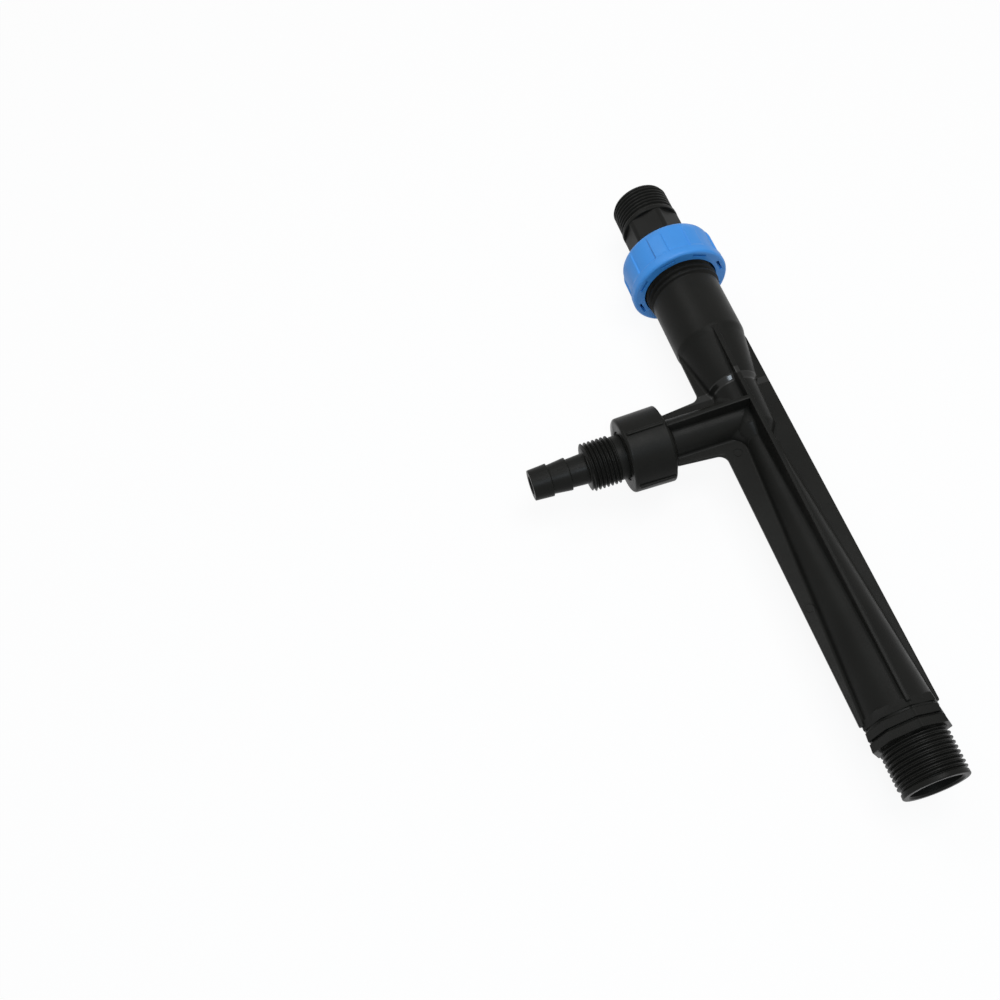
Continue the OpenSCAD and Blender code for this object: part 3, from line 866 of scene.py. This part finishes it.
def polish_band(mat, middle, half, rough, weight):
    """Smooth skin on a short stretch of the flow axis, as a polished spot in a mould leaves it."""
    tree = mat.node_tree
    shader = tree.nodes["Principled BSDF"]
    set_inputs(shader, {"Coat Roughness": rough})
    place = tree.nodes.new("ShaderNodeTexCoord")
    split = tree.nodes.new("ShaderNodeSeparateXYZ")
    tree.links.new(place.outputs["Object"], split.inputs["Vector"])
    band = math_node(tree, "COMPARE", split.outputs["X"], middle * MM, half * MM)
    tree.links.new(math_node(tree, "MULTIPLY", band, weight), shader.inputs["Coat Weight"])


def metal(name, **looks):
    """Drawn wire: bright metal with uneven sheen."""
    mat = plastic(name, **looks)
    set_inputs(mat.node_tree.nodes["Principled BSDF"], {"Metallic": 1.0})
    return mat


BLACK = dict(dark=(0.0090, 0.0090, 0.0080), light=(0.0112, 0.0112, 0.0100),
             rough=0.37, spread=0.05, grain=0.12, gloss=0.07)
BLUE = dict(dark=(0.046, 0.258, 0.68), light=(0.051, 0.276, 0.72),
            rough=0.46, spread=0.05, grain=0.12, gloss=0.35)
RUBBER = dict(dark=(0.01, 0.01, 0.01), light=(0.016, 0.016, 0.016), rough=0.6, spread=0.08, grain=0.2)
WHITE = dict(dark=(0.78, 0.78, 0.75), light=(0.84, 0.84, 0.81), rough=0.25, spread=0.04, grain=0.03)
STEEL = dict(dark=(0.5, 0.5, 0.52), light=(0.62, 0.63, 0.65), rough=0.28, spread=0.06, grain=0.05)

black = plastic("black_moulding", **BLACK)
body_black = plastic("body_moulding", **BLACK)
polish_band(body_black, middle=114.0, half=1.6, rough=0.18, weight=0.38)
blue = plastic("blue_moulding", **BLUE)
seal = plastic("seal_rubber", **RUBBER)
white = plastic("ball_plastic", **WHITE)
wire = metal("spring_wire", **STEEL)

# Pieces

finish_piece(build_body(), "injector", "body", body_black)
finish_piece(build_nut(), "nut", "union_nut", blue)
finish_piece(build_inlet(), "inlet_tail", "inlet_adapter", black)
finish_piece(build_suction(), "injector", "suction_adapter", black)

INNER_LOOKS = {
    "jet_nozzle": black,
    "nozzle_o_ring": seal,
    "flange_o_ring": seal,
    "suction_o_ring": seal,
    "check_ball": white,
    "check_spring": wire,
}
for node, material in INNER_LOOKS.items():
    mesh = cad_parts[node].data
    mesh.materials.clear()
    mesh.materials.append(material)
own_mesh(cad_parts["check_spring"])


# Floor, light and camera, in metres

FLOOR_SIZE = 6.0
FLOOR_PLACE = (0.15, 0, -0.0227)
FLOOR_GLOW = 0.92
SKY_LIGHT = 0.15
SKY_SEEN = 0.97
PALE = (0.9, 0.9, 0.9, 1)
PURE_WHITE = (1, 1, 1, 1)
COOL = (0.78, 0.89, 1.0)


def seen_directly(tree):
    """1 for rays from the camera, from gloss and through glass, else 0."""
    path = tree.nodes.new("ShaderNodeLightPath")
    seen = math_node(tree, "MAXIMUM", path.outputs["Is Camera Ray"], path.outputs["Is Glossy Ray"])
    return math_node(tree, "MAXIMUM", seen, path.outputs["Is Transmission Ray"])


def floor_material():
    """Near-white floor; the camera sees it lit evenly, with a trace of shadow."""
    mat, tree, shader = new_material("pale_floor")
    set_inputs(shader, {"Base Color": PALE, "Roughness": 0.9})
    glow = tree.nodes.new("ShaderNodeEmission")
    set_inputs(glow, {"Color": PURE_WHITE, "Strength": 1.0})
    mix = tree.nodes.new("ShaderNodeMixShader")
    tree.links.new(math_node(tree, "MULTIPLY", seen_directly(tree), FLOOR_GLOW), mix.inputs["Fac"])
    tree.links.new(shader.outputs["BSDF"], mix.inputs[1])
    tree.links.new(glow.outputs["Emission"], mix.inputs[2])
    tree.links.new(mix.outputs["Shader"], tree.nodes["Material Output"].inputs["Surface"])
    return mat


def studio_world():
    """Dim white world that lights the object, and a white one behind it."""
    world = bpy.data.worlds.new("studio")
    world.use_nodes = True
    tree = world.node_tree
    sky = tree.nodes["Background"]
    set_inputs(sky, {"Color": PURE_WHITE})
    strength = tree.nodes.new("ShaderNodeMapRange")
    set_inputs(strength, {"To Min": SKY_LIGHT, "To Max": SKY_SEEN})
    tree.links.new(seen_directly(tree), strength.inputs["Value"])
    tree.links.new(strength.outputs["Result"], sky.inputs["Strength"])
    return world


def area_light(name, place, aim, size, power, colour=(1, 1, 1)):
    """Soft square light at place, pointed at aim."""
    data = bpy.data.lights.new(name, "AREA")
    data.shape = "RECTANGLE"
    data.size = size
    data.size_y = size
    data.energy = power
    data.color = colour
    obj = scene_object(name, data)
    obj.location = place
    obj.rotation_euler = (Vector(aim) - Vector(place)).to_track_quat("-Z", "Y").to_euler()


bpy.ops.mesh.primitive_plane_add(size=FLOOR_SIZE, location=FLOOR_PLACE)
floor = bpy.context.object
floor.name = "floor"
floor.data.materials.append(floor_material())

bpy.context.scene.world = studio_world()

area_light("key", place=(0.14, 0.18, 1.1), aim=(0.14, -0.02, 0), size=0.6, power=6.4)
area_light("fill", place=(-0.4, -0.35, 0.8), aim=(0.1, -0.02, 0), size=0.5, power=2.0)
area_light("window", place=(0.6, -0.16, 0.87), aim=(0.14, -0.02, 0), size=0.18, power=3.2, colour=COOL)

# Camera at the photograph's viewing angle, in millimetres and in pixels of a 1000 pixel frame
EYE = Vector((364.55, -147.22, 425.57))
AIM = Vector((130.24, -111.13, 0))
ROLL = -0.1776
FOCAL_PIXELS = 1168.9
FRAME_PIXELS = 1000
SENSOR = 36.0


def place_camera():
    """Camera at EYE that looks at AIM, rolled about its own axis."""
    look = (AIM - EYE).normalized()
    level = look.cross(Vector((0, 0, 1))).normalized()
    upright = level.cross(look)
    right = level * math.cos(ROLL) + upright * math.sin(ROLL)
    up = upright * math.cos(ROLL) - level * math.sin(ROLL)
    data = bpy.data.cameras.new("camera")
    data.sensor_width = SENSOR
    data.lens = FOCAL_PIXELS * SENSOR / FRAME_PIXELS
    data.clip_start = 0.01
    camera = scene_object("camera", data)
    turn = Matrix((right, up, -look)).transposed().to_4x4()
    camera.matrix_world = Matrix.Translation(EYE * MM) @ turn
    return camera


bpy.context.scene.camera = place_camera()
bpy.context.scene.view_settings.view_transform = "Standard"
